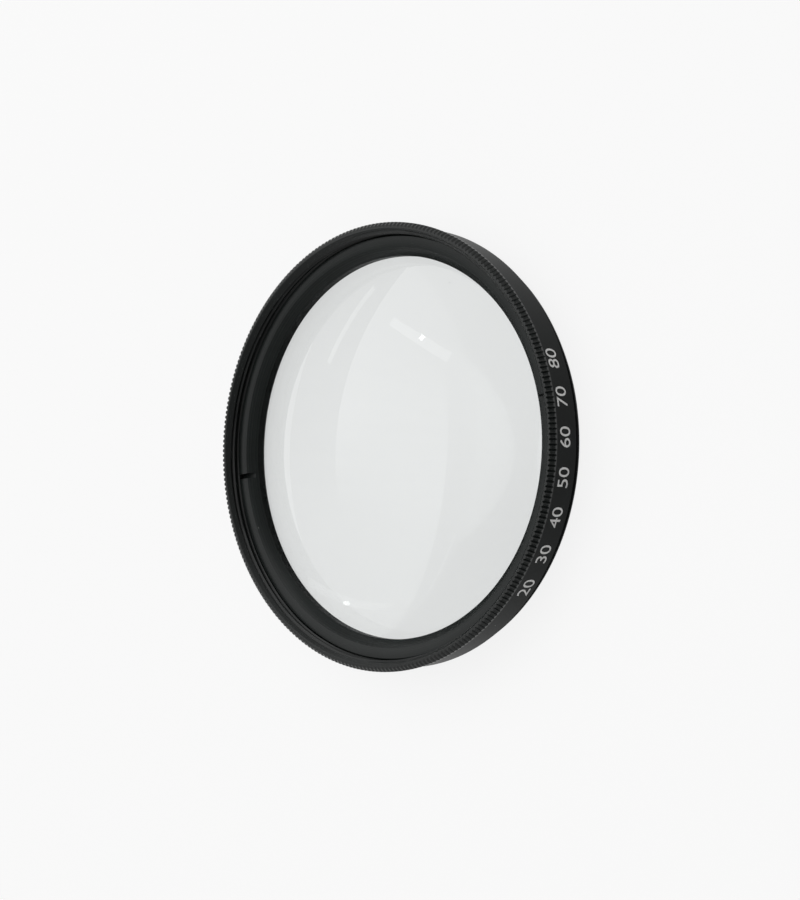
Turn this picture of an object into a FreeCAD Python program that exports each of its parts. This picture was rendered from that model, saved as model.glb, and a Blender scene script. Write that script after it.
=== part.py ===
"""Close-up lens for a 52 mm filter thread: a knurled mount ring, one plano-convex glass and its retainer.

Millimetres. The optical axis is +Z, the front (subject) side is up, and the rear thread's end is at Z = 0.
"""
import FreeCAD, Part
import enum
import math
import os
import Sketcher

# Driving dimensions: alias, value, what it sets
DIMENSIONS = (
    ("thread_dia", 52.0, "nominal diameter of the front and rear filter threads"),
    ("thread_pitch", 0.75, "pitch of both filter threads"),
    ("thread_allowance", 0.1, "how much smaller than nominal the rear thread is, on diameter"),
    ("rear_thread_length", 1.4, "rear thread, from its end to the shoulder of the band"),
    ("rear_chamfer", 0.3, "lead-in chamfer on the end of the rear thread"),
    ("band_wall", 0.5, "plain band, outside the nominal thread radius"),
    ("band_chamfer", 0.18, "chamfer on the rear edge of the plain band"),
    ("grip_rise", 0.5, "tips of the knurled grip, outside the plain band"),
    ("grip_width", 0.8, "knurled grip along the axis, from the front rim to its square shoulder"),
    ("grip_bevel", 0.4, "bevel on the front edge of the grip, on radius"),
    ("bevel_angle", 40.0, "slope of the bevel and its grooves off the axis, in degrees"),
    ("knurl_count", 276, "V grooves across the bevel, round the grip"),
    ("knurl_depth", 0.26, "depth of a groove below the bevel, on radius"),
    ("knurl_land", 0.2, "flat left between two grooves on the bevel"),
    ("front_chamfer", 0.6, "chamfer where the front thread starts"),
    ("front_recess", 1.65, "front rim down to the retaining ring"),
    ("flange_thickness", 0.9, "rear flange that the glass lies on"),
    ("flange_overlap", 0.9, "how far the flange reaches under the glass"),
    ("flange_chamfer", 0.3, "chamfer on the rear edge of the aperture"),
    ("lens_inset", 1.6, "edge of the glass, inside the nominal thread radius"),
    ("lens_clearance", 0.1, "room round the edge of the glass"),
    ("lens_edge", 1.1, "thickness of the glass at its edge"),
    ("lens_bevel", 0.15, "ground bevel on the rear edge of the glass"),
    ("lens_power", 10.0, "optical power in dioptres"),
    ("glass_index", 1.517, "refractive index of crown glass"),
    ("clamp_overlap", 1.3, "how far the retaining ring reaches over the glass"),
    ("clamp_clearance", 0.02, "room between the retaining ring and the glass"),
    ("tighten_room", 0.3, "front bore left below the retaining ring"),
    ("retainer_clearance", 0.05, "room round the retaining ring, on radius"),
    ("retainer_height", 2.05, "retaining ring along the axis"),
    ("retainer_flare", 1.05, "bevel inside the front edge of the retaining ring, on radius"),
    ("retainer_bevel", 1.05, "the same bevel, along the axis"),
    ("retainer_chamfer", 0.14, "chamfer on its outer front edge"),
    ("slot_width", 0.6, "spanner slot across the retaining ring"),
    ("slot_depth", 0.78, "depth of a spanner slot"),
    ("first_slot_angle", 15.9, "direction of the first slot from +X, in degrees"),
    ("second_slot_angle", 190.7, "direction of the second slot from +X, in degrees"),
    ("overcut", 0.3, "how far a cutting outline runs past the wall it cuts"),
)

# Sizes that follow from the driving dimensions, as expressions over the sheet
THREAD_R = "dims.thread_dia / 2"
REAR_THREAD_R = "(dims.thread_dia - dims.thread_allowance) / 2"
MINOR_SHARE = 1.0825  # a metric thread's minor diameter is the nominal one less this many pitches
FRONT_BORE_R = f"(dims.thread_dia - {MINOR_SHARE} * dims.thread_pitch) / 2"
RIM_R = f"({FRONT_BORE_R} + dims.front_chamfer)"
BAND_R = f"({THREAD_R} + dims.band_wall)"
GRIP_R = f"({BAND_R} + dims.grip_rise)"
BEVEL_R = f"({GRIP_R} - dims.grip_bevel)"
KNURL_ROOT_R = f"({BEVEL_R} - dims.knurl_depth)"
KNURL_CUT_DEPTH = "(dims.knurl_depth * cos(dims.bevel_angle))"
LENS_R = f"({THREAD_R} - dims.lens_inset)"
POCKET_R = f"({LENS_R} + dims.lens_clearance)"
APERTURE_R = f"({LENS_R} - dims.flange_overlap)"
CLAMP_R = f"({LENS_R} - dims.clamp_overlap)"
RETAINER_R = f"({FRONT_BORE_R} - dims.retainer_clearance)"
RETAINER_MOUTH_R = f"({CLAMP_R} + dims.retainer_flare)"

# A plano-convex lens of focal length 1000 / power has this front radius
LENS_CURVE_R = "((dims.glass_index - 1) * 1000 / dims.lens_power)"
LENS_EDGE_Z = "(dims.flange_thickness + dims.lens_edge)"
LENS_CENTRE_Z = f"({LENS_EDGE_Z} - sqrt(pow({LENS_CURVE_R}; 2) - pow({LENS_R}; 2)))"
LENS_APEX_Z = f"({LENS_CENTRE_Z} + {LENS_CURVE_R})"
CLAMP_Z = f"({LENS_CENTRE_Z} + sqrt(pow({LENS_CURVE_R}; 2) - pow({CLAMP_R}; 2)) + dims.clamp_clearance)"
BORE_FLOOR_Z = f"({CLAMP_Z} - dims.tighten_room)"
RETAINER_TOP_Z = f"({CLAMP_Z} + dims.retainer_height)"
FRONT_Z = f"({RETAINER_TOP_Z} + dims.front_recess)"
GRIP_REAR_Z = f"({FRONT_Z} - dims.grip_width)"
BEVEL_REAR_Z = f"({FRONT_Z} - dims.grip_bevel / tan(dims.bevel_angle))"


class Axis(enum.IntEnum):
    """A sketch's own axes, as a constraint takes them."""
    HORIZONTAL = -1
    VERTICAL = -2


class End(enum.IntEnum):
    """Which point of a sketch edge a constraint takes."""
    START = enum.auto()
    FINISH = enum.auto()
    CENTRE = enum.auto()


doc = FreeCAD.newDocument("close_up_lens")


def make_sheet():
    """Write the driving dimensions into a sheet, one row each."""
    sheet = doc.addObject("Spreadsheet::Sheet", "dims")
    for row, (alias, value, meaning) in enumerate(DIMENSIONS, start=1):
        sheet.set(f"A{row}", alias)
        sheet.set(f"B{row}", str(value))
        sheet.set(f"C{row}", meaning)
        sheet.setAlias(f"B{row}", alias)
    doc.recompute()


def size(expression):
    """Value of an expression over the sheet, for a sketch's first guess."""
    return float(doc.getObject("dims").evalExpression(expression))


def origin_feature(body, role):
    return next(item for item in body.Origin.OriginFeatures if item.Role == role)


def make_body(name):
    body = doc.addObject("PartDesign::Body", name)
    body.Label = name
    return body


def make_sketch(body, name, plane, height=None):
    """A sketch on one of the body's own planes, raised by an expression if one is given."""
    sketch = body.newObject("Sketcher::SketchObject", name)
    sketch.AttachmentSupport = [(origin_feature(body, plane), "")]
    sketch.MapMode = "FlatFace"
    if height:
        sketch.setExpression("AttachmentOffset.Base.z", height)
    return sketch


def bind(sketch, index, expression):
    sketch.setExpression(f"Constraints[{index}]", expression)


def place_point(sketch, edge, point, across, along):
    """Tie a sketch point to expressions for its two coordinates; None puts it on that axis."""
    sides = (("DistanceX", across, Axis.VERTICAL), ("DistanceY", along, Axis.HORIZONTAL))
    for kind, expression, axis in sides:
        if expression is None:
            sketch.addConstraint(Sketcher.Constraint("PointOnObject", edge, point, axis))
        else:
            reading = size(expression)
            constraint = Sketcher.Constraint(kind, Axis.HORIZONTAL, End.START, edge, point, reading)
            bind(sketch, sketch.addConstraint(constraint), expression)


def draw_outline(sketch, corners):
    """A closed outline of straight edges through corners given as pairs of expressions."""
    spots = [FreeCAD.Vector(*(0.0 if e is None else size(e) for e in corner), 0) for corner in corners]
    count = len(spots)
    for i in range(count):
        sketch.addGeometry(Part.LineSegment(spots[i], spots[(i + 1) % count]), False)
    for i in range(count):
        sketch.addConstraint(Sketcher.Constraint("Coincident", i, End.FINISH, (i + 1) % count, End.START))
    for i, (across, along) in enumerate(corners):
        place_point(sketch, i, End.START, across, along)


def revolve(body, sketch):
    turned = body.newObject("PartDesign::Revolution", f"{body.Name}_turned")
    turned.Profile = sketch
    turned.ReferenceAxis = (sketch, ["V_Axis"])
    turned.Angle = 360
    sketch.Visibility = False
    doc.recompute()
    return turned


def volume_taken(pocket, feature):
    """Volume that a feature leaves out of what was there before the pocket."""
    return pocket.BaseFeature.Shape.Volume - feature.Shape.Volume


def cut(body, sketch, depth):
    """Cut a sketch into the body, on the side that it faces away from."""
    pocket = body.newObject("PartDesign::Pocket", f"{sketch.Name}_cut")
    pocket.Profile = sketch
    pocket.setExpression("Length", depth)
    doc.recompute()
    if volume_taken(pocket, pocket) <= 0:
        raise RuntimeError(f"{sketch.Name} cuts nothing")
    return pocket


def repeat_round(body, pocket, count):
    """Repeat a cut round the axis, and check that each one takes as much."""
    pattern = body.newObject("PartDesign::PolarPattern", f"{pocket.Name}_ring")
    pattern.Originals = [pocket]
    pattern.Axis = (origin_feature(body, "Z_Axis"), [""])
    pattern.Angle = 360
    pattern.setExpression("Occurrences", count)
    body.Tip = pattern
    doc.recompute()
    expected = volume_taken(pocket, pocket) * round(size(count))
    taken = volume_taken(pocket, pattern)
    if not math.isclose(taken, expected, rel_tol=0.01):
        raise RuntimeError(f"{pattern.Name}: the cuts take {taken:.4f} mm3, not {expected:.4f}")


def make_mount_ring():
    """The turned ring: rear thread, plain band, knurled grip, glass seat and front thread bore."""
    body = make_body("mount_ring")
    section = make_sketch(body, "ring_section", "XZ_Plane")
    shoulder_z = "dims.rear_thread_length"
    draw_outline(section, [
        (f"{APERTURE_R} + dims.flange_chamfer", None),
        (f"{REAR_THREAD_R} - dims.rear_chamfer", None),
        (REAR_THREAD_R, "dims.rear_chamfer"),
        (REAR_THREAD_R, shoulder_z),
        (f"{BAND_R} - dims.band_chamfer", shoulder_z),
        (BAND_R, f"{shoulder_z} + dims.band_chamfer"),
        (BAND_R, GRIP_REAR_Z),
        (GRIP_R, GRIP_REAR_Z),
        (GRIP_R, BEVEL_REAR_Z),
        (BEVEL_R, FRONT_Z),
        (RIM_R, FRONT_Z),
        (FRONT_BORE_R, f"{FRONT_Z} - dims.front_chamfer"),
        (FRONT_BORE_R, BORE_FLOOR_Z),
        (POCKET_R, BORE_FLOOR_Z),
        (POCKET_R, "dims.flange_thickness"),
        (APERTURE_R, "dims.flange_thickness"),
        (APERTURE_R, "dims.flange_chamfer"),
    ])
    revolve(body, section)

    # One V groove of the knurl, along the slope of the bevel, from the rim until it runs out of the grip
    knurl = make_sketch(body, "knurl_groove", "XY_Plane")
    slope = FreeCAD.Rotation(FreeCAD.Vector(0, -1, 0), size("dims.bevel_angle"))
    knurl.AttachmentOffset = FreeCAD.Placement(FreeCAD.Vector(), slope)
    knurl.setExpression("AttachmentOffset.Rotation.Angle", "dims.bevel_angle")
    knurl.setExpression("AttachmentOffset.Base.x", f"{KNURL_ROOT_R} - dims.overcut * sin(dims.bevel_angle)")
    knurl.setExpression("AttachmentOffset.Base.z", f"{FRONT_Z} + dims.overcut * cos(dims.bevel_angle)")
    half_mouth = f"(pi * {BEVEL_R} / dims.knurl_count - dims.knurl_land / 2)"
    open_depth = f"({KNURL_CUT_DEPTH} + dims.overcut)"
    open_half = f"({half_mouth} * {open_depth} / {KNURL_CUT_DEPTH})"
    draw_outline(knurl, [
        (None, None),
        (open_depth, f"-{open_half}"),
        (open_depth, open_half),
    ])
    groove_length = "(dims.grip_bevel + dims.knurl_depth) / sin(dims.bevel_angle) + 2 * dims.overcut"
    repeat_round(body, cut(body, knurl, groove_length), "dims.knurl_count")
    return body


def make_lens_element():
    """The plano-convex glass, flat on the flange and domed to the front."""
    body = make_body("lens_element")
    section = make_sketch(body, "lens_section", "XZ_Plane")
    rear_z = "dims.flange_thickness"
    corners = [
        (None, LENS_APEX_Z),
        (None, rear_z),
        (f"{LENS_R} - dims.lens_bevel", rear_z),
        (LENS_R, f"{rear_z} + dims.lens_bevel"),
        (LENS_R, LENS_EDGE_Z),
    ]
    spots = [FreeCAD.Vector(*(0.0 if e is None else size(e) for e in corner), 0) for corner in corners]
    for start, end in zip(spots, spots[1:]):
        section.addGeometry(Part.LineSegment(start, end), False)
    centre = FreeCAD.Vector(0, size(LENS_CENTRE_Z), 0)
    circle = Part.Circle(centre, FreeCAD.Vector(0, 0, 1), size(LENS_CURVE_R))
    edge_angle = math.atan2(spots[-1].y - centre.y, spots[-1].x - centre.x)
    dome = section.addGeometry(Part.ArcOfCircle(circle, edge_angle, math.pi / 2), False)
    for i in range(dome - 1):
        section.addConstraint(Sketcher.Constraint("Coincident", i, End.FINISH, i + 1, End.START))
    section.addConstraint(Sketcher.Constraint("Coincident", dome - 1, End.FINISH, dome, End.START))
    section.addConstraint(Sketcher.Constraint("Coincident", dome, End.FINISH, 0, End.START))
    section.addConstraint(Sketcher.Constraint("PointOnObject", dome, End.CENTRE, Axis.VERTICAL))
    radius = section.addConstraint(Sketcher.Constraint("Radius", dome, size(LENS_CURVE_R)))
    bind(section, radius, LENS_CURVE_R)
    section.addConstraint(Sketcher.Constraint("PointOnObject", 0, End.START, Axis.VERTICAL))
    for i, (across, along) in enumerate(corners[1:], start=1):
        if i < dome:
            place_point(section, i, End.START, across, along)
    place_point(section, dome, End.START, *corners[-1])
    revolve(body, section)
    return body


def make_retaining_ring():
    """The ring that clamps the glass: it opens to the front and has slots for a spanner."""
    body = make_body("retaining_ring")
    section = make_sketch(body, "retainer_section", "XZ_Plane")
    draw_outline(section, [
        (CLAMP_R, CLAMP_Z),
        (RETAINER_R, CLAMP_Z),
        (RETAINER_R, f"{RETAINER_TOP_Z} - dims.retainer_chamfer"),
        (f"{RETAINER_R} - dims.retainer_chamfer", RETAINER_TOP_Z),
        (RETAINER_MOUTH_R, RETAINER_TOP_Z),
        (CLAMP_R, f"{RETAINER_TOP_Z} - dims.retainer_bevel"),
    ])
    revolve(body, section)

    # Two radial slots across the front face, which run out on the bevel
    for name in ("first_slot", "second_slot"):
        slot = make_sketch(body, name, "XY_Plane", RETAINER_TOP_Z)
        slot.setExpression("AttachmentOffset.Rotation.Angle", f"dims.{name}_angle")
        draw_outline(slot, [
            (f"{CLAMP_R} - dims.overcut", "-dims.slot_width / 2"),
            (f"{RETAINER_R} + dims.overcut", "-dims.slot_width / 2"),
            (f"{RETAINER_R} + dims.overcut", "dims.slot_width / 2"),
            (f"{CLAMP_R} - dims.overcut", "dims.slot_width / 2"),
        ])
        cut(body, slot, "dims.slot_depth")
    return body


def check_document(bodies):
    for item in doc.Objects:
        if "Invalid" in item.State or "Error" in item.State:
            raise RuntimeError(f"{item.Name} did not recompute: {item.State}")
    for body in bodies:
        if body.Shape.isNull() or not body.Shape.isValid() or len(body.Shape.Solids) != 1:
            raise RuntimeError(f"{body.Label} is not one valid solid")


make_sheet()
bodies = [make_mount_ring(), make_lens_element(), make_retaining_ring()]
doc.recompute()
check_document(bodies)
os.makedirs("parts", exist_ok=True)
for body in bodies:
    body.Shape.exportStep(f"parts/{body.Label}.step")
    box = body.Shape.BoundBox
    extents = f"{box.XLength:.2f} x {box.YLength:.2f} x {box.ZLength:.2f} mm"
    print(f"{body.Label}: {body.Shape.Volume:.2f} mm3, {extents}")
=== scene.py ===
import math

import bmesh
import bpy
import numpy as np
from mathutils import Matrix, Quaternion, Vector


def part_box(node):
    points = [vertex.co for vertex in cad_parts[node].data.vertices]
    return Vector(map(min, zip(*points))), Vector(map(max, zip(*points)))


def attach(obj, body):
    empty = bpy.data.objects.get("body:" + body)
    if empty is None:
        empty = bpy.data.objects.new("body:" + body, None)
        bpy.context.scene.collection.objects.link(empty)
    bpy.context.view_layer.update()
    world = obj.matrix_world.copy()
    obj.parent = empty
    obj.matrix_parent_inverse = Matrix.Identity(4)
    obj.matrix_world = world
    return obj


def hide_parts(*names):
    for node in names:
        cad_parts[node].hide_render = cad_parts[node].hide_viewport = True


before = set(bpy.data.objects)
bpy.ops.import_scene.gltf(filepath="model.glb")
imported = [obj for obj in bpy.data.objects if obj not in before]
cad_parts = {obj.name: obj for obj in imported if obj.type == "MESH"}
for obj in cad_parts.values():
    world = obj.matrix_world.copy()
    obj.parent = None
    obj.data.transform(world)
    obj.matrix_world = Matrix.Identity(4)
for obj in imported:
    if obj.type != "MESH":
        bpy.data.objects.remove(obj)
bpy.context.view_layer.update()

# The looks of a screw-in close-up lens: turned black ring, clamped glass and slotted retaining ring.
# Sizes are in millimetres and become metres where a mesh is made. The axis is +Z, and the front is up.

MM = 0.001
scene = bpy.context.scene


def node_sizes(node):
    """Largest radius, lowest and highest point of a CAD node, in millimetres."""
    low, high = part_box(node)
    return max(high.x, high.y) / MM, low.z / MM, high.z / MM


GRIP_R, REAR_Z, FRONT_Z = node_sizes("mount_ring")
RETAINER_R, RETAINER_REAR_Z, RETAINER_FRONT_Z = node_sizes("retaining_ring")
GLASS_R, GLASS_REAR_Z, GLASS_TOP_Z = node_sizes("lens_element")

# Threads: nominal radius, pitch and the depths of their flanks
THREAD_R = 26.0
PITCH = 0.75
BORE_R = 25.594
REAR_THREAD_R = 25.95
REAR_THREAD_DEPTH = 0.46
THREAD_ROWS_PER_TURN = 12
CREST_SHARE = 0.25
ROOT_SHARE = 0.125

# Mount ring
REAR_CHAMFER = 0.3
SHOULDER_Z = 1.4
BAND_R = 26.5
BAND_CHAMFER = 0.18
GRIP_WIDTH = 0.8
GRIP_BEVEL = 0.4
BEVEL_TAN = math.tan(math.radians(40.0))
KNURL_COUNT = 276
KNURL_DEPTH = 0.26
KNURL_LAND = 0.2
FRONT_CHAMFER = 0.6
FLANGE_Z = 0.9
FLANGE_CHAMFER = 0.3
APERTURE_R = 23.5
POCKET_R = 24.5
BORE_FLOOR_Z = 2.391
EDGE_BREAK = 0.04

# Retaining ring
RETAINER_INNER_R = 23.1
RETAINER_MOUTH_R = 24.15
RETAINER_BEVEL = 1.05
RETAINER_CHAMFER = 0.14
SLOT_WIDTH = 0.6
SLOT_DEPTH = 0.78
SLOT_ANGLES = (math.radians(15.9), math.radians(190.7))
RETAINER_COLUMNS = 480

# Glass
DOME_R = 51.7
GLASS_EDGE_Z = 2.0
GLASS_BEVEL = 0.15
GLASS_COLUMNS = 360
DOME_ROWS = 64
REAR_RINGS = (0.25, 0.5, 0.75)

# Numbers on the band
NUMBERS = ("20", "30", "40", "50", "60", "70", "80")
NUMBER_ANGLES = (math.radians(-36.0), math.radians(25.0))
NUMBER_HEIGHT = 1.8
NUMBER_BASES = (2.35, 2.85)
DIGIT_SHARE = 0.69
INK_RISE = 0.02

# Meshes: angles above which an edge stays sharp, and distances within which points are merged
RING_SHARP = math.radians(24)
PIECE_SHARP = math.radians(30)
PIECE_MERGE = 1e-4
NUMBER_MERGE = 1e-5

# Faces of a turned wall: how far off its radius their centres lie, and how far their normals tip
WALL_REACH = 0.02
WALL_TIP = 0.1

# Anodising: sizes of its grain and clouds, depth of the grain, spread of roughness and range of the noise
GRAIN_SIZE = 0.06
GRAIN_DEPTH = 0.002
CLOUD_SIZE = 6.0
ROUGH_SPREAD = 0.05
NOISE_RANGE = (0.3, 0.7)

# Dust: colour, then the spacing and radius of its specks and the share of cells that has one
RING_DUST_COLOUR = (0.35, 0.35, 0.34, 1.0)
RING_DUST = (2.4, 0.055, 0.12)
GLASS_DUST_COLOUR = (0.12, 0.12, 0.13, 1.0)
GLASS_DUST = (6.0, 0.07, 0.25)

# Glass and matt surfaces: refractive index, tints that also paint shade over what is seen through the glass,
# the tint of what shines straight through, and gloss
GLASS_IOR = 1.517
# These tints are much darker than clear crown glass: painted shade over everything seen through the lens,
# beside its own faint green
GLASS_TINTS_WITH_PAINTED_SHADE = ((0.91, 0.918, 0.916, 1.0), (0.915, 0.923, 0.921, 1.0))
TINT_SIZE = 9.0
SHADOW_TINT = (0.93, 0.94, 0.945, 1.0)
MATT_GLOSS = 0.2

# Floor and the low wall round it, in metres, and the share of what is seen of them that is an even white
FLOOR_RADIUS = 2.6
FLOOR_SIDES = 64
BACKDROP_HEIGHT = 0.5
EVEN_SHARE = 0.86
WHITE = (1.0, 1.0, 1.0, 1.0)

# Overhead panel, in metres: its place, its size and how its near side fades out
PANEL_HEIGHT = 0.8
PANEL_X = -0.48
PANEL_WIDTH = 1.44
PANEL_DEPTH = 1.05
PANEL_LEVEL = 0.95
PANEL_FADE_Y = 0.15
PANEL_FADE = 0.5
FADE_STEPS = 8

# Lamp in the panel, the glow along it and the strip beyond, in metres: places, sizes, levels and drops
LAMP_TURN = math.radians(-22.7)
LAMP_PLACE = (-0.504, 0.456)
LAMP_SIZE = (0.036, 0.024)
LAMP_LEVEL = 8.0
LAMP_DROP = 0.02
GLOW_PLACE = (-0.58, 0.478)
GLOW_SIZE = (0.62, 0.045)
GLOW_LEVEL = 0.9
GLOW_DROP = 0.01
STRIP_PLACE = (-1.73, 0.78, PANEL_HEIGHT)
STRIP_SIZE = (0.59, 0.07)
STRIP_LEVEL = 0.8

# Surround: its level falls between two directions, from the far side to the camera's side
SURROUND_X = (-0.2, 0.8)
SURROUND_LEVELS = (0.45, 0.2)

# View: picture size, tilt, roll, distance, height, scale, the axis's place, sensor and clipping in metres
IMAGE_SIZE = (800, 900)
VIEW_TILT = math.radians(42.31)
VIEW_ROLL = math.radians(2.91)
VIEW_DISTANCE = 400.0
VIEW_HEIGHT = 5.902
PIXELS_PER_MM = 8.336
AXIS_PIXEL = (382.0, 446.6)
SENSOR = 36.0
CLIP_START = 0.01
CLIP_END = 50.0


def turned_faces(rows, columns):
    """Quads between neighbouring rows and columns of a closed section turned all the way round."""
    row = np.arange(rows)[:, None]
    column = np.arange(columns)[None, :]
    next_row = (row + 1) % rows
    next_column = (column + 1) % columns
    corners = [(row, column), (row, next_column), (next_row, next_column), (next_row, column)]
    return np.stack([np.broadcast_to(r * columns + c, (rows, columns)) for r, c in corners], -1)


def turned_points(rows, angles):
    """Points of each row: (radius, height) or (radius, height, angles), each a number or one per column."""
    points = []
    for radius, height, *own_angles in rows:
        turn = own_angles[0] if own_angles else angles
        radius = np.broadcast_to(radius, len(angles))
        height = np.broadcast_to(height, len(angles))
        points.append(np.stack([radius * np.cos(turn), radius * np.sin(turn), height], -1))
    return np.concatenate(points) * MM


def make_piece(name, points, faces, sharp_angle, merge=False):
    """A mesh object with outward normals, smooth apart from edges sharper than an angle."""
    mesh = bpy.data.meshes.new(name)
    mesh.from_pydata(points.tolist(), [], faces)
    work = bmesh.new()
    work.from_mesh(mesh)
    if merge:
        bmesh.ops.remove_doubles(work, verts=work.verts, dist=PIECE_MERGE * MM)
    bmesh.ops.recalc_face_normals(work, faces=work.faces)
    work.to_mesh(mesh)
    work.free()
    mesh.shade_smooth()
    mesh.set_sharp_from_angle(angle=sharp_angle)
    piece = bpy.data.objects.new(name, mesh)
    scene.collection.objects.link(piece)
    return piece


def thread_profile(height, angles):
    """How deep a right-hand thread is at a height, from 0 on its crest to 1 at its root."""
    turn = (height / PITCH - angles / (2 * math.pi)) % 1.0
    off_crest = np.abs(turn - 0.5) * 2
    return np.clip((off_crest - CREST_SHARE) / (1 - CREST_SHARE - ROOT_SHARE), 0, 1)


def heights(low, high):
    """Heights for the rows of a threaded stretch, both ends included."""
    steps = round((high - low) / PITCH * THREAD_ROWS_PER_TURN)
    return np.linspace(low, high, steps + 1)


def rear_thread_rows(angles):
    """Rows of the rear thread, from its end to the shoulder of the band."""
    rows = []
    for z in heights(REAR_Z, SHOULDER_Z):
        chamfered = REAR_THREAD_R - max(0.0, REAR_CHAMFER - z)
        threaded = REAR_THREAD_R - REAR_THREAD_DEPTH * thread_profile(z, angles)
        rows.append((np.minimum(chamfered, threaded), z))
    return rows


def front_thread_rows(angles):
    """Rows of the front thread, from the rim's chamfer down past the retaining ring's front."""
    rows = []
    for z in heights(RETAINER_FRONT_Z - PITCH / 2, FRONT_Z - EDGE_BREAK)[::-1]:
        chamfered = BORE_R + max(0.0, z - FRONT_Z + FRONT_CHAMFER)
        threaded = BORE_R + (THREAD_R - BORE_R) * thread_profile(z, angles)
        rows.append((np.maximum(chamfered, threaded), z))
    return rows


def make_mount_ring():
    """The turned ring. Each notch of its grip has a column at the root and one at each edge of its mouth."""
    pitch_angle = 2 * math.pi / KNURL_COUNT
    bevel_r = GRIP_R - GRIP_BEVEL
    half_mouth = pitch_angle / 2 - KNURL_LAND / 2 / bevel_r
    starts = np.arange(KNURL_COUNT)[:, None] * pitch_angle
    angles = (starts + np.array([0.0, half_mouth, pitch_angle - half_mouth])).ravel()
    columns = len(angles)
    at_root = np.arange(columns) % 3 == 0
    groove = np.where(at_root, KNURL_DEPTH, 0.0)
    root_r = bevel_r - KNURL_DEPTH
    rows = [(APERTURE_R + FLANGE_CHAMFER, REAR_Z)]
    rows += rear_thread_rows(angles)
    rows += [
        (BAND_R - BAND_CHAMFER, SHOULDER_Z),
        (BAND_R, SHOULDER_Z + BAND_CHAMFER),
        (BAND_R, FRONT_Z - GRIP_WIDTH),
        (GRIP_R, FRONT_Z - GRIP_WIDTH),
        (GRIP_R, FRONT_Z - (GRIP_BEVEL + KNURL_DEPTH) / BEVEL_TAN),
    ]
    run_out_row = len(rows) - 1
    rows += [
        (GRIP_R - groove, FRONT_Z - GRIP_BEVEL / BEVEL_TAN),
        (bevel_r - groove, FRONT_Z),
        (root_r - EDGE_BREAK / 2, FRONT_Z),
        (BORE_R + FRONT_CHAMFER + EDGE_BREAK, FRONT_Z),
    ]
    rows += front_thread_rows(angles)
    rows += [
        (BORE_R, rows[-1][1] - EDGE_BREAK),
        (BORE_R, BORE_FLOOR_Z),
        (POCKET_R, BORE_FLOOR_Z),
        (POCKET_R, FLANGE_Z),
        (APERTURE_R, FLANGE_Z),
        (APERTURE_R, REAR_Z + FLANGE_CHAMFER),
    ]
    quads = turned_faces(len(rows), columns)
    faces = np.delete(quads, run_out_row, axis=0).reshape(-1, 4).tolist()
    # A notch runs out in a point on the grip, so the cells there are split from that point
    for column, (a, b, c, d) in enumerate(quads[run_out_row].tolist()):
        if at_root[column]:
            faces += [[a, b, c], [a, c, d]]
        elif at_root[(column + 1) % columns]:
            faces += [[a, b, d], [b, c, d]]
        else:
            faces.append([a, b, c, d])
    return make_piece("mount_ring_turned", turned_points(rows, angles), faces, RING_SHARP)


def make_retaining_ring():
    """The slotted ring. Each wall of a slot has two columns, one whole and one cut down to its floor."""
    floor_z = RETAINER_FRONT_Z - SLOT_DEPTH
    slope = (RETAINER_MOUTH_R - RETAINER_INNER_R) / RETAINER_BEVEL
    floor_inner_r = RETAINER_MOUTH_R - slope * SLOT_DEPTH
    section = [
        (RETAINER_INNER_R, RETAINER_REAR_Z),
        (RETAINER_R, RETAINER_REAR_Z),
        (RETAINER_R, floor_z),
        (RETAINER_R, RETAINER_FRONT_Z - RETAINER_CHAMFER),
        (RETAINER_R - RETAINER_CHAMFER, RETAINER_FRONT_Z),
        (RETAINER_MOUTH_R + EDGE_BREAK, RETAINER_FRONT_Z),
        (RETAINER_MOUTH_R - slope * EDGE_BREAK, RETAINER_FRONT_Z - EDGE_BREAK),
        (floor_inner_r, floor_z),
        (RETAINER_INNER_R, RETAINER_FRONT_Z - RETAINER_BEVEL),
    ]
    half_slot = SLOT_WIDTH / 2
    clear = SLOT_WIDTH / RETAINER_INNER_R
    plain = np.linspace(0, 2 * math.pi, RETAINER_COLUMNS, endpoint=False)
    for slot in SLOT_ANGLES:
        away = np.abs((plain - slot + math.pi) % (2 * math.pi) - math.pi)
        plain = plain[away > clear]
    # Each column is its angle, its side step from the slot's middle line and whether it is cut.
    # The angles at a slot's walls only put these columns in order
    table = [(angle, 0.0, False) for angle in plain]
    whole_turn = clear / 2
    cut_turn = clear / 4
    for slot in SLOT_ANGLES:
        table += [(slot - whole_turn, -half_slot, False), (slot - cut_turn, -half_slot, True)]
        table += [(slot, 0.0, True)]
        table += [(slot + cut_turn, half_slot, True), (slot + whole_turn, half_slot, False)]
    table.sort()
    angles = np.array([column[0] for column in table])
    side = np.array([column[1] for column in table])
    cut = np.array([column[2] for column in table])
    middle = np.array([min(SLOT_ANGLES, key=lambda slot: abs(slot - angle)) for angle in angles])
    rows = []
    for radius, height in section:
        turn = np.where(side == 0.0, angles, middle + np.arcsin(side / radius))
        rows.append((radius, np.where(cut, min(height, floor_z), height), turn))
    faces = turned_faces(len(rows), len(angles)).reshape(-1, 4).tolist()
    points = turned_points(rows, angles)
    return make_piece("retaining_ring_turned", points, faces, PIECE_SHARP, merge=True)


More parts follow.
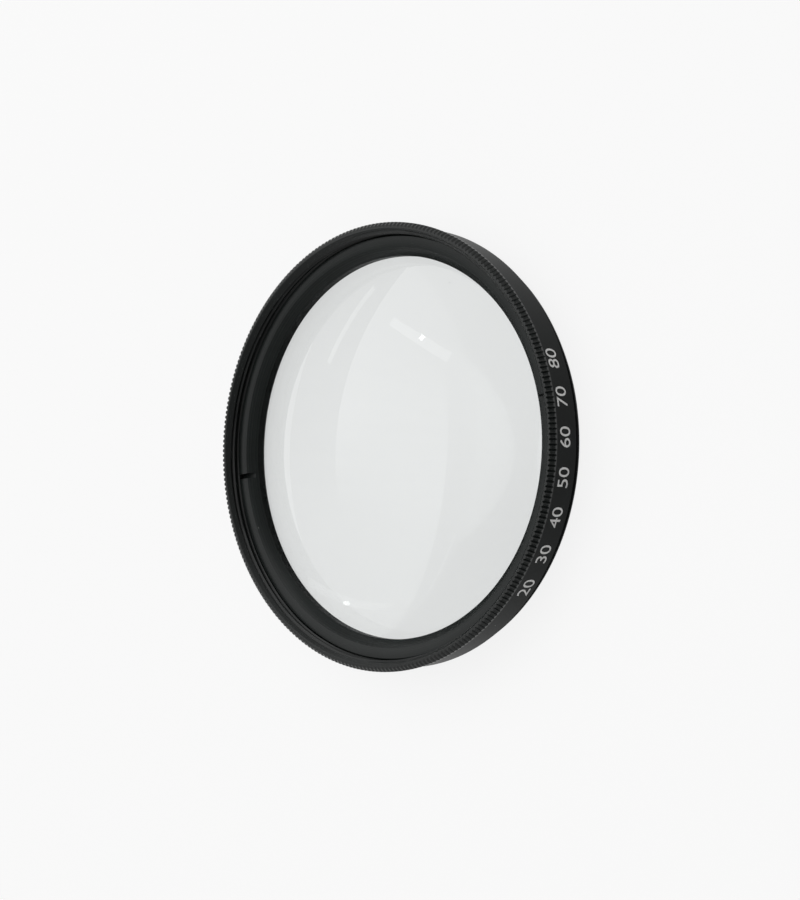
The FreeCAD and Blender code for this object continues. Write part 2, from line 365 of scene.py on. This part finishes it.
def make_glass():
    """The plano-convex glass: a true spherical dome over a flat rear face, with a ground edge."""
    centre_z = GLASS_TOP_Z - DOME_R
    edge_angle = math.asin(GLASS_R / DOME_R)
    angles = np.linspace(0, 2 * math.pi, GLASS_COLUMNS, endpoint=False)
    rows = [(0.0, GLASS_REAR_Z)]
    rows += [(GLASS_R * share, GLASS_REAR_Z) for share in REAR_RINGS]
    rows += [(GLASS_R - GLASS_BEVEL, GLASS_REAR_Z), (GLASS_R, GLASS_REAR_Z + GLASS_BEVEL)]
    for tilt in np.linspace(edge_angle, 0.0, DOME_ROWS):
        rows.append((DOME_R * math.sin(tilt), centre_z + DOME_R * math.cos(tilt)))
    faces = turned_faces(len(rows), GLASS_COLUMNS)[:-1].reshape(-1, 4).tolist()
    points = turned_points(rows, angles)
    return make_piece("lens_glass", points, faces, PIECE_SHARP, merge=True)


def make_numbers():
    """Plain numbers printed round the band, each a thin solid bent to its radius."""
    made = []
    turns = np.linspace(*NUMBER_ANGLES, len(NUMBERS))
    bases = np.linspace(*NUMBER_BASES, len(NUMBERS))
    for text, turn, base in zip(NUMBERS, turns, bases):
        curve = bpy.data.curves.new("number", "FONT")
        curve.body = text
        curve.align_x = "CENTER"
        curve.size = NUMBER_HEIGHT / DIGIT_SHARE
        curve.extrude = INK_RISE
        holder = bpy.data.objects.new("number", curve)
        scene.collection.objects.link(holder)
        bpy.context.view_layer.update()
        flat = holder.evaluated_get(bpy.context.evaluated_depsgraph_get()).to_mesh()
        work = bmesh.new()
        work.from_mesh(flat)
        bmesh.ops.remove_doubles(work, verts=work.verts, dist=NUMBER_MERGE)
        for vertex in work.verts:
            angle = turn + vertex.co.x / BAND_R
            radius = BAND_R + vertex.co.z
            height = base + vertex.co.y
            vertex.co = Vector((radius * math.cos(angle), radius * math.sin(angle), height)) * MM
        mesh = bpy.data.meshes.new("band_number_" + text)
        work.to_mesh(mesh)
        work.free()
        bpy.data.objects.remove(holder)
        piece = bpy.data.objects.new(mesh.name, mesh)
        scene.collection.objects.link(piece)
        made.append(piece)
    return made


def new_material(name):
    """An empty node material and its node tree."""
    material = bpy.data.materials.new(name)
    material.use_nodes = True
    material.node_tree.nodes.clear()
    return material, material.node_tree


def add_node(tree, kind, **settings):
    """A node with its properties, and with its inputs given as a dictionary."""
    node = tree.nodes.new(kind)
    for socket, value in settings.pop("inputs", {}).items():
        node.inputs[socket].default_value = value
    for name, value in settings.items():
        setattr(node, name, value)
    return node


def ramp(tree, source, low, high, dark, light):
    """Map a value between two limits onto another range."""
    node = add_node(tree, "ShaderNodeMapRange", inputs={
        "From Min": low, "From Max": high, "To Min": dark, "To Max": light})
    tree.links.new(source, node.inputs["Value"])
    return node.outputs["Result"]


def object_place(tree):
    """Object coordinates in metres."""
    return add_node(tree, "ShaderNodeTexCoord").outputs["Object"]


def turned_place(tree, place):
    """Coordinates turned into (radius, height, 0)."""
    split = add_node(tree, "ShaderNodeSeparateXYZ")
    flat = add_node(tree, "ShaderNodeCombineXYZ")
    length = add_node(tree, "ShaderNodeVectorMath", operation="LENGTH")
    turned = add_node(tree, "ShaderNodeCombineXYZ")
    tree.links.new(place, split.inputs[0])
    tree.links.new(split.outputs["X"], flat.inputs["X"])
    tree.links.new(split.outputs["Y"], flat.inputs["Y"])
    tree.links.new(flat.outputs[0], length.inputs[0])
    tree.links.new(length.outputs["Value"], turned.inputs["X"])
    tree.links.new(split.outputs["Z"], turned.inputs["Y"])
    return turned.outputs[0]


def noise(tree, vector, size, detail=2.0):
    """Noise whose features are about a size in millimetres."""
    node = add_node(tree, "ShaderNodeTexNoise", inputs={"Scale": 1 / (size * MM), "Detail": detail})
    tree.links.new(vector, node.inputs["Vector"])
    return node.outputs["Fac"]


def specks(tree, vector, spacing, radius, share):
    """1 on sparse round specks, of which only a share of the cells has one, and 0 elsewhere."""
    cells = add_node(tree, "ShaderNodeTexVoronoi", inputs={"Scale": 1 / (spacing * MM)})
    tree.links.new(vector, cells.inputs["Vector"])
    near = add_node(tree, "ShaderNodeMath", operation="LESS_THAN", inputs={1: radius / spacing})
    tree.links.new(cells.outputs["Distance"], near.inputs[0])
    split = add_node(tree, "ShaderNodeSeparateColor")
    tree.links.new(cells.outputs["Color"], split.inputs[0])
    chosen = add_node(tree, "ShaderNodeMath", operation="LESS_THAN", inputs={1: share})
    tree.links.new(split.outputs[0], chosen.inputs[0])
    both = add_node(tree, "ShaderNodeMath", operation="MULTIPLY")
    tree.links.new(near.outputs[0], both.inputs[0])
    tree.links.new(chosen.outputs[0], both.inputs[1])
    return both.outputs[0]


def colour_inputs(node):
    """The colour sockets of a Mix node, in order: A, B."""
    return [socket for socket in node.inputs if socket.type == "RGBA"]


def anodised(name, dark, light, gloss, rough, mark_size, mark_depth):
    """Satin black anodising with fine turning marks, grain and a few specks of dust."""
    material, tree = new_material(name)
    place = object_place(tree)
    marks = noise(tree, turned_place(tree, place), mark_size, detail=3.0)
    grain = noise(tree, place, GRAIN_SIZE)
    cloud = noise(tree, place, CLOUD_SIZE)
    surface = add_node(tree, "ShaderNodeBsdfPrincipled", inputs={"Specular IOR Level": gloss})
    tint = add_node(tree, "ShaderNodeMix", data_type="RGBA")
    first, second = colour_inputs(tint)
    first.default_value = dark
    second.default_value = light
    tree.links.new(ramp(tree, cloud, *NOISE_RANGE, 0.0, 1.0), tint.inputs[0])
    dusty = add_node(tree, "ShaderNodeMix", data_type="RGBA")
    under, dust = colour_inputs(dusty)
    dust.default_value = RING_DUST_COLOUR
    tree.links.new(tint.outputs[2], under)
    tree.links.new(specks(tree, place, *RING_DUST), dusty.inputs[0])
    tree.links.new(dusty.outputs[2], surface.inputs["Base Color"])
    worn = ramp(tree, marks, *NOISE_RANGE, rough - ROUGH_SPREAD, rough + ROUGH_SPREAD)
    tree.links.new(worn, surface.inputs["Roughness"])
    lathe_bump = add_node(tree, "ShaderNodeBump", inputs={"Strength": 1.0, "Distance": mark_depth * MM})
    tree.links.new(marks, lathe_bump.inputs["Height"])
    grain_bump = add_node(tree, "ShaderNodeBump", inputs={"Strength": 1.0, "Distance": GRAIN_DEPTH * MM})
    tree.links.new(grain, grain_bump.inputs["Height"])
    tree.links.new(lathe_bump.outputs[0], grain_bump.inputs["Normal"])
    tree.links.new(grain_bump.outputs[0], surface.inputs["Normal"])
    output = add_node(tree, "ShaderNodeOutputMaterial")
    tree.links.new(surface.outputs[0], output.inputs["Surface"])
    return material


def clear_glass():
    """Polished crown glass, tinted darker to paint shade over what is seen through it, with a few specks of
    dust. Shadow and diffuse rays pass straight through it.
    """
    material, tree = new_material("crown_glass_polished")
    place = object_place(tree)
    glass = add_node(tree, "ShaderNodeBsdfGlass", inputs={"IOR": GLASS_IOR, "Roughness": 0.0})
    tint_drift = noise(tree, place, TINT_SIZE, detail=1.0)
    # The tint darkens all that is seen through the glass: painted shade, drifting a little at random between
    # two tones
    tint = add_node(tree, "ShaderNodeMix", data_type="RGBA")
    first, second = colour_inputs(tint)
    first.default_value, second.default_value = GLASS_TINTS_WITH_PAINTED_SHADE
    tree.links.new(tint_drift, tint.inputs[0])
    tree.links.new(tint.outputs[2], glass.inputs["Color"])
    dust = add_node(tree, "ShaderNodeBsdfDiffuse", inputs={"Color": GLASS_DUST_COLOUR})
    dusty = add_node(tree, "ShaderNodeMixShader")
    tree.links.new(specks(tree, place, *GLASS_DUST), dusty.inputs[0])
    tree.links.new(glass.outputs[0], dusty.inputs[1])
    tree.links.new(dust.outputs[0], dusty.inputs[2])
    path = add_node(tree, "ShaderNodeLightPath")
    passing = add_node(tree, "ShaderNodeMath", operation="MAXIMUM")
    tree.links.new(path.outputs["Is Shadow Ray"], passing.inputs[0])
    tree.links.new(path.outputs["Is Diffuse Ray"], passing.inputs[1])
    clear = add_node(tree, "ShaderNodeBsdfTransparent", inputs={"Color": SHADOW_TINT})
    surface = add_node(tree, "ShaderNodeMixShader")
    tree.links.new(passing.outputs[0], surface.inputs[0])
    tree.links.new(dusty.outputs[0], surface.inputs[1])
    tree.links.new(clear.outputs[0], surface.inputs[2])
    output = add_node(tree, "ShaderNodeOutputMaterial")
    tree.links.new(surface.outputs[0], output.inputs["Surface"])
    return material


def mottled(name, first_colour, second_colour, size, rough):
    """A matt surface whose colour drifts a little between two tones."""
    material, tree = new_material(name)
    place = object_place(tree)
    settings = {"Roughness": rough, "Specular IOR Level": MATT_GLOSS}
    surface = add_node(tree, "ShaderNodeBsdfPrincipled", inputs=settings)
    tint = add_node(tree, "ShaderNodeMix", data_type="RGBA")
    first, second = colour_inputs(tint)
    first.default_value = first_colour
    second.default_value = second_colour
    tree.links.new(noise(tree, place, size), tint.inputs[0])
    tree.links.new(tint.outputs[2], surface.inputs["Base Color"])
    output = add_node(tree, "ShaderNodeOutputMaterial")
    tree.links.new(surface.outputs[0], output.inputs["Surface"])
    return material


def make_floor():
    """A round floor under the lens, with a low wall far off. What is seen of them is mostly an even white,
    and the rest takes shadows."""
    mesh = bpy.data.meshes.new("floor")
    turns = [2 * math.pi * side / FLOOR_SIDES for side in range(FLOOR_SIDES)]
    edge = [(FLOOR_RADIUS * math.cos(turn), FLOOR_RADIUS * math.sin(turn)) for turn in turns]
    points = [(x, y, z) for z in (0, BACKDROP_HEIGHT) for x, y in edge]
    pairs = [(side, (side + 1) % FLOOR_SIDES) for side in range(FLOOR_SIDES)]
    walls = [(one, two, two + FLOOR_SIDES, one + FLOOR_SIDES) for one, two in pairs]
    mesh.from_pydata(points, [], [tuple(range(FLOOR_SIDES))] + walls)
    floor = bpy.data.objects.new("floor", mesh)
    scene.collection.objects.link(floor)
    paper = mottled(
        "floor_paper",
        first_colour=(0.93, 0.93, 0.93, 1),
        second_colour=(0.95, 0.95, 0.95, 1),
        size=30.0,
        rough=0.6,
    )
    tree = paper.node_tree
    output = next(node for node in tree.nodes if node.type == "OUTPUT_MATERIAL")
    lit = output.inputs["Surface"].links[0].from_socket
    even = add_node(tree, "ShaderNodeEmission", inputs={"Color": WHITE, "Strength": 1.0})
    seen = add_node(tree, "ShaderNodeMixShader", inputs={"Fac": EVEN_SHARE})
    tree.links.new(lit, seen.inputs[1])
    tree.links.new(even.outputs[0], seen.inputs[2])
    path = add_node(tree, "ShaderNodeLightPath")
    mirrored = add_node(tree, "ShaderNodeMath", operation="MAXIMUM")
    tree.links.new(path.outputs["Is Glossy Ray"], mirrored.inputs[0])
    tree.links.new(path.outputs["Is Transmission Ray"], mirrored.inputs[1])
    in_view = add_node(tree, "ShaderNodeMath", operation="MAXIMUM")
    tree.links.new(path.outputs["Is Camera Ray"], in_view.inputs[0])
    tree.links.new(mirrored.outputs[0], in_view.inputs[1])
    either = add_node(tree, "ShaderNodeMixShader")
    tree.links.new(in_view.outputs[0], either.inputs[0])
    tree.links.new(lit, either.inputs[1])
    tree.links.new(seen.outputs[0], either.inputs[2])
    tree.links.new(either.outputs[0], output.inputs["Surface"])
    floor.data.materials.append(paper)


def add_softbox(name, location, target, width, height, radiance, turn=0.0):
    """A flat lamp that faces a target, with its brightness given as what a mirror of it would show."""
    lamp = bpy.data.lights.new(name, "AREA")
    lamp.shape = "RECTANGLE"
    lamp.size = width
    lamp.size_y = height
    lamp.energy = radiance * math.pi * width * height
    holder = bpy.data.objects.new(name, lamp)
    holder.location = location
    holder.rotation_mode = "QUATERNION"
    facing = (Vector(target) - Vector(location)).to_track_quat("-Z", "Y")
    holder.rotation_quaternion = facing @ Quaternion((0, 0, 1), turn)
    scene.collection.objects.link(holder)


def add_overhead(name, x, y, width, depth, radiance, turn=0.0, below=0.0):
    """A lamp that faces straight down, level with the overhead panel or a little below it."""
    add_softbox(name, (x, y, PANEL_HEIGHT - below), (x, y, 0), width, depth, radiance, turn)


def make_lights():
    """A wide panel overhead, to the left and back, that fades out on its near side, with a lamp in it,
    a strip beyond it, and a surround that is darker on the camera's side."""
    panel_y = PANEL_FADE_Y + PANEL_DEPTH / 2
    add_overhead("overhead_panel", PANEL_X, panel_y, PANEL_WIDTH, PANEL_DEPTH, PANEL_LEVEL)
    step = PANEL_FADE / FADE_STEPS
    for number in range(FADE_STEPS):
        share = 1 - (number + 0.5) / FADE_STEPS
        y = PANEL_FADE_Y - (number + 0.5) * step
        add_overhead("panel_fade", PANEL_X, y, PANEL_WIDTH, step, PANEL_LEVEL * share)
    add_overhead("panel_lamp", *LAMP_PLACE, *LAMP_SIZE, LAMP_LEVEL, LAMP_TURN, LAMP_DROP)
    add_overhead("lamp_glow", *GLOW_PLACE, *GLOW_SIZE, GLOW_LEVEL, LAMP_TURN, GLOW_DROP)
    add_softbox("left_strip", STRIP_PLACE, (0, 0, 0), *STRIP_SIZE, STRIP_LEVEL)
    world = bpy.data.worlds.new("studio")
    scene.world = world
    world.use_nodes = True
    tree = world.node_tree
    background = tree.nodes["Background"]
    place = add_node(tree, "ShaderNodeTexCoord")
    split = add_node(tree, "ShaderNodeSeparateXYZ")
    tree.links.new(place.outputs["Generated"], split.inputs[0])
    level = ramp(tree, split.outputs["X"], *SURROUND_X, *SURROUND_LEVELS)
    tree.links.new(level, background.inputs["Strength"])
    background.inputs["Color"].default_value = WHITE


def make_camera():
    """A camera at the picture's viewing angle."""
    view = Vector((math.sin(VIEW_TILT), 0, math.cos(VIEW_TILT)))
    level = Vector((math.cos(VIEW_TILT), 0, -math.sin(VIEW_TILT)))
    upright = Vector((0, 1, 0))
    right = level * math.cos(VIEW_ROLL) + upright * math.sin(VIEW_ROLL)
    up = upright * math.cos(VIEW_ROLL) - level * math.sin(VIEW_ROLL)
    aside = (AXIS_PIXEL[0] - IMAGE_SIZE[0] / 2) / PIXELS_PER_MM
    above = (IMAGE_SIZE[1] / 2 - AXIS_PIXEL[1]) / PIXELS_PER_MM
    spot = Vector((0, 0, VIEW_HEIGHT)) + view * VIEW_DISTANCE - right * aside - up * above
    data = bpy.data.cameras.new("camera")
    data.sensor_width = SENSOR
    data.lens = PIXELS_PER_MM * VIEW_DISTANCE / max(IMAGE_SIZE) * SENSOR
    data.clip_start = CLIP_START
    data.clip_end = CLIP_END
    camera = bpy.data.objects.new("camera", data)
    scene.collection.objects.link(camera)
    turn = Matrix((right, up, view)).transposed().to_4x4()
    camera.matrix_world = Matrix.Translation(spot * MM) @ turn
    scene.camera = camera


def settle(piece, material, node=None):
    """Give a piece its material, tie it to the root body, and hide the CAD node whose place it takes."""
    piece.data.materials.append(material)
    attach(piece, "root")
    if node:
        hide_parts(node)


def finish_faces(piece, material, radius, low, high):
    """Give a second material to the faces of a turned wall, found by its radius and its two heights."""
    piece.data.materials.append(material)
    for face in piece.data.polygons:
        place = face.center / MM
        on_wall = abs(math.hypot(place.x, place.y) - radius) < WALL_REACH
        if on_wall and abs(face.normal.z) < WALL_TIP and low < place.z < high:
            face.material_index = 1


black = anodised(
    "anodised_black",
    dark=(0.0072, 0.0092, 0.0087, 1),
    light=(0.0098, 0.0124, 0.0117, 1),
    gloss=0.42,
    rough=0.3,
    mark_size=0.05,
    mark_depth=0.002,
)
matt = anodised(
    "anodised_matt",
    dark=(0.0052, 0.0068, 0.0064, 1),
    light=(0.007, 0.009, 0.0085, 1),
    gloss=0.08,
    rough=0.36,
    mark_size=0.05,
    mark_depth=0.002,
)
grey = anodised(
    "anodised_retainer",
    dark=(0.0106, 0.0135, 0.0128, 1),
    light=(0.0142, 0.018, 0.017, 1),
    gloss=0.28,
    rough=0.28,
    mark_size=0.04,
    mark_depth=0.004,
)
ink = mottled(
    "white_ink",
    first_colour=(0.84, 0.84, 0.83, 1),
    second_colour=(0.91, 0.91, 0.90, 1),
    size=0.2,
    rough=0.5,
)
mount_ring = make_mount_ring()
settle(mount_ring, black, "mount_ring")
finish_faces(mount_ring, matt, BAND_R, REAR_Z, FRONT_Z - GRIP_WIDTH)
retaining_ring = make_retaining_ring()
settle(retaining_ring, grey, "retaining_ring")
finish_faces(retaining_ring, matt, RETAINER_INNER_R, RETAINER_REAR_Z, RETAINER_FRONT_Z - RETAINER_BEVEL)
settle(make_glass(), clear_glass(), "lens_element")
for number in make_numbers():
    settle(number, ink)
make_floor()
make_lights()
make_camera()
scene.view_settings.view_transform = "Standard"
